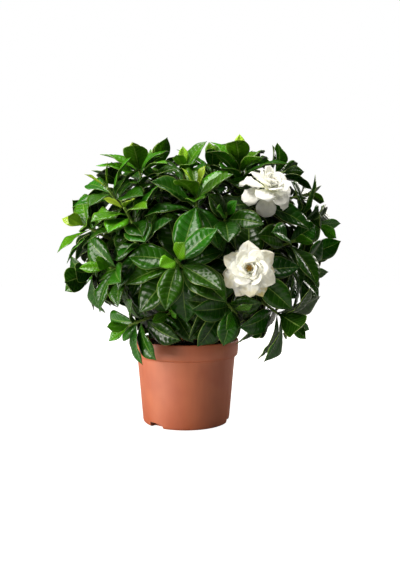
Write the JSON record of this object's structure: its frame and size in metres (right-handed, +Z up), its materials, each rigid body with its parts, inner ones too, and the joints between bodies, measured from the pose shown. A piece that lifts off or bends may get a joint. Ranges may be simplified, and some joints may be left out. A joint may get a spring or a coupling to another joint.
{
  "type": "potted gardenia",
  "caption": "Bushy evergreen gardenia with glossy leaves and double white blooms, rooted in soil in a round tapered plastic nursery pot.",
  "frame": {"origin": "middle of the pot's flat underside", "axes": "+Z up along the pot's axis, -Y towards the plant's front, where its blooms are, +X to the right seen from the front"},
  "size_m": [0.3229, 0.2777, 0.3256],
  "materials": {
    "pot": "moulded polypropylene, terracotta-coloured, fine satin grain",
    "soil": "moist dark peat compost, crumbly",
    "bark": "young grey-brown bark, matt",
    "foliage": "waxy glossy dark green leaf, raised between its veins",
    "petal": "thick creamy white petal, soft sheen",
    "heart": "brownish yellow stamens, powdery"
  },
  "bodies": {
    "root": {"pot": "pot", "soil": "soil", "wood_front_left": "bark", "wood_front_right": "bark", "wood_back_left": "bark", "wood_back_right": "bark", "upper_bloom": "petal", "upper_bloom_heart": "heart", "lower_bloom": "petal", "lower_bloom_heart": "heart", "shoot_front_rosette": "foliage", "shoot_under_upper_bloom": "petal", "shoot_under_lower_bloom": "petal", "shoot_left_cup": "foliage", "shoot_left_crown": "foliage", "shoot_left_brow": "foliage", "shoot_crown_left": "foliage", "shoot_brow": "foliage", "shoot_crown_right": "foliage", "shoot_crown_far_right": "foliage", "shoot_middle_dark": "foliage", "shoot_middle_left": "foliage", "shoot_right_shoulder": "foliage", "shoot_right_upper": "foliage", "shoot_right_crown": "foliage", "shoot_right_droop": "foliage", "shoot_right_skirt": "foliage", "shoot_front_skirt": "foliage", "shoot_left_droop": "foliage", "shoot_left_skirt": "foliage", "shoot_left_low_front": "foliage", "shoot_front_low": "foliage", "shoot_crown_middle": "foliage", "shoot_crown_middle_left": "foliage", "shoot_back_crown_left": "foliage", "shoot_back_crown_right": "foliage", "shoot_back_left_upper": "foliage", "shoot_back_middle_upper": "foliage", "shoot_back_right_upper": "foliage", "shoot_back_left": "foliage", "shoot_back_middle": "foliage", "shoot_back_right": "foliage", "shoot_right_back": "foliage", "shoot_left_back": "foliage", "shoot_back_skirt_left": "foliage", "shoot_back_skirt_right": "foliage", "shoot_crown_back_right": "foliage", "shoot_crown_front": "foliage", "shoot_inner_left": "foliage"}
  },
  "joints": []
}
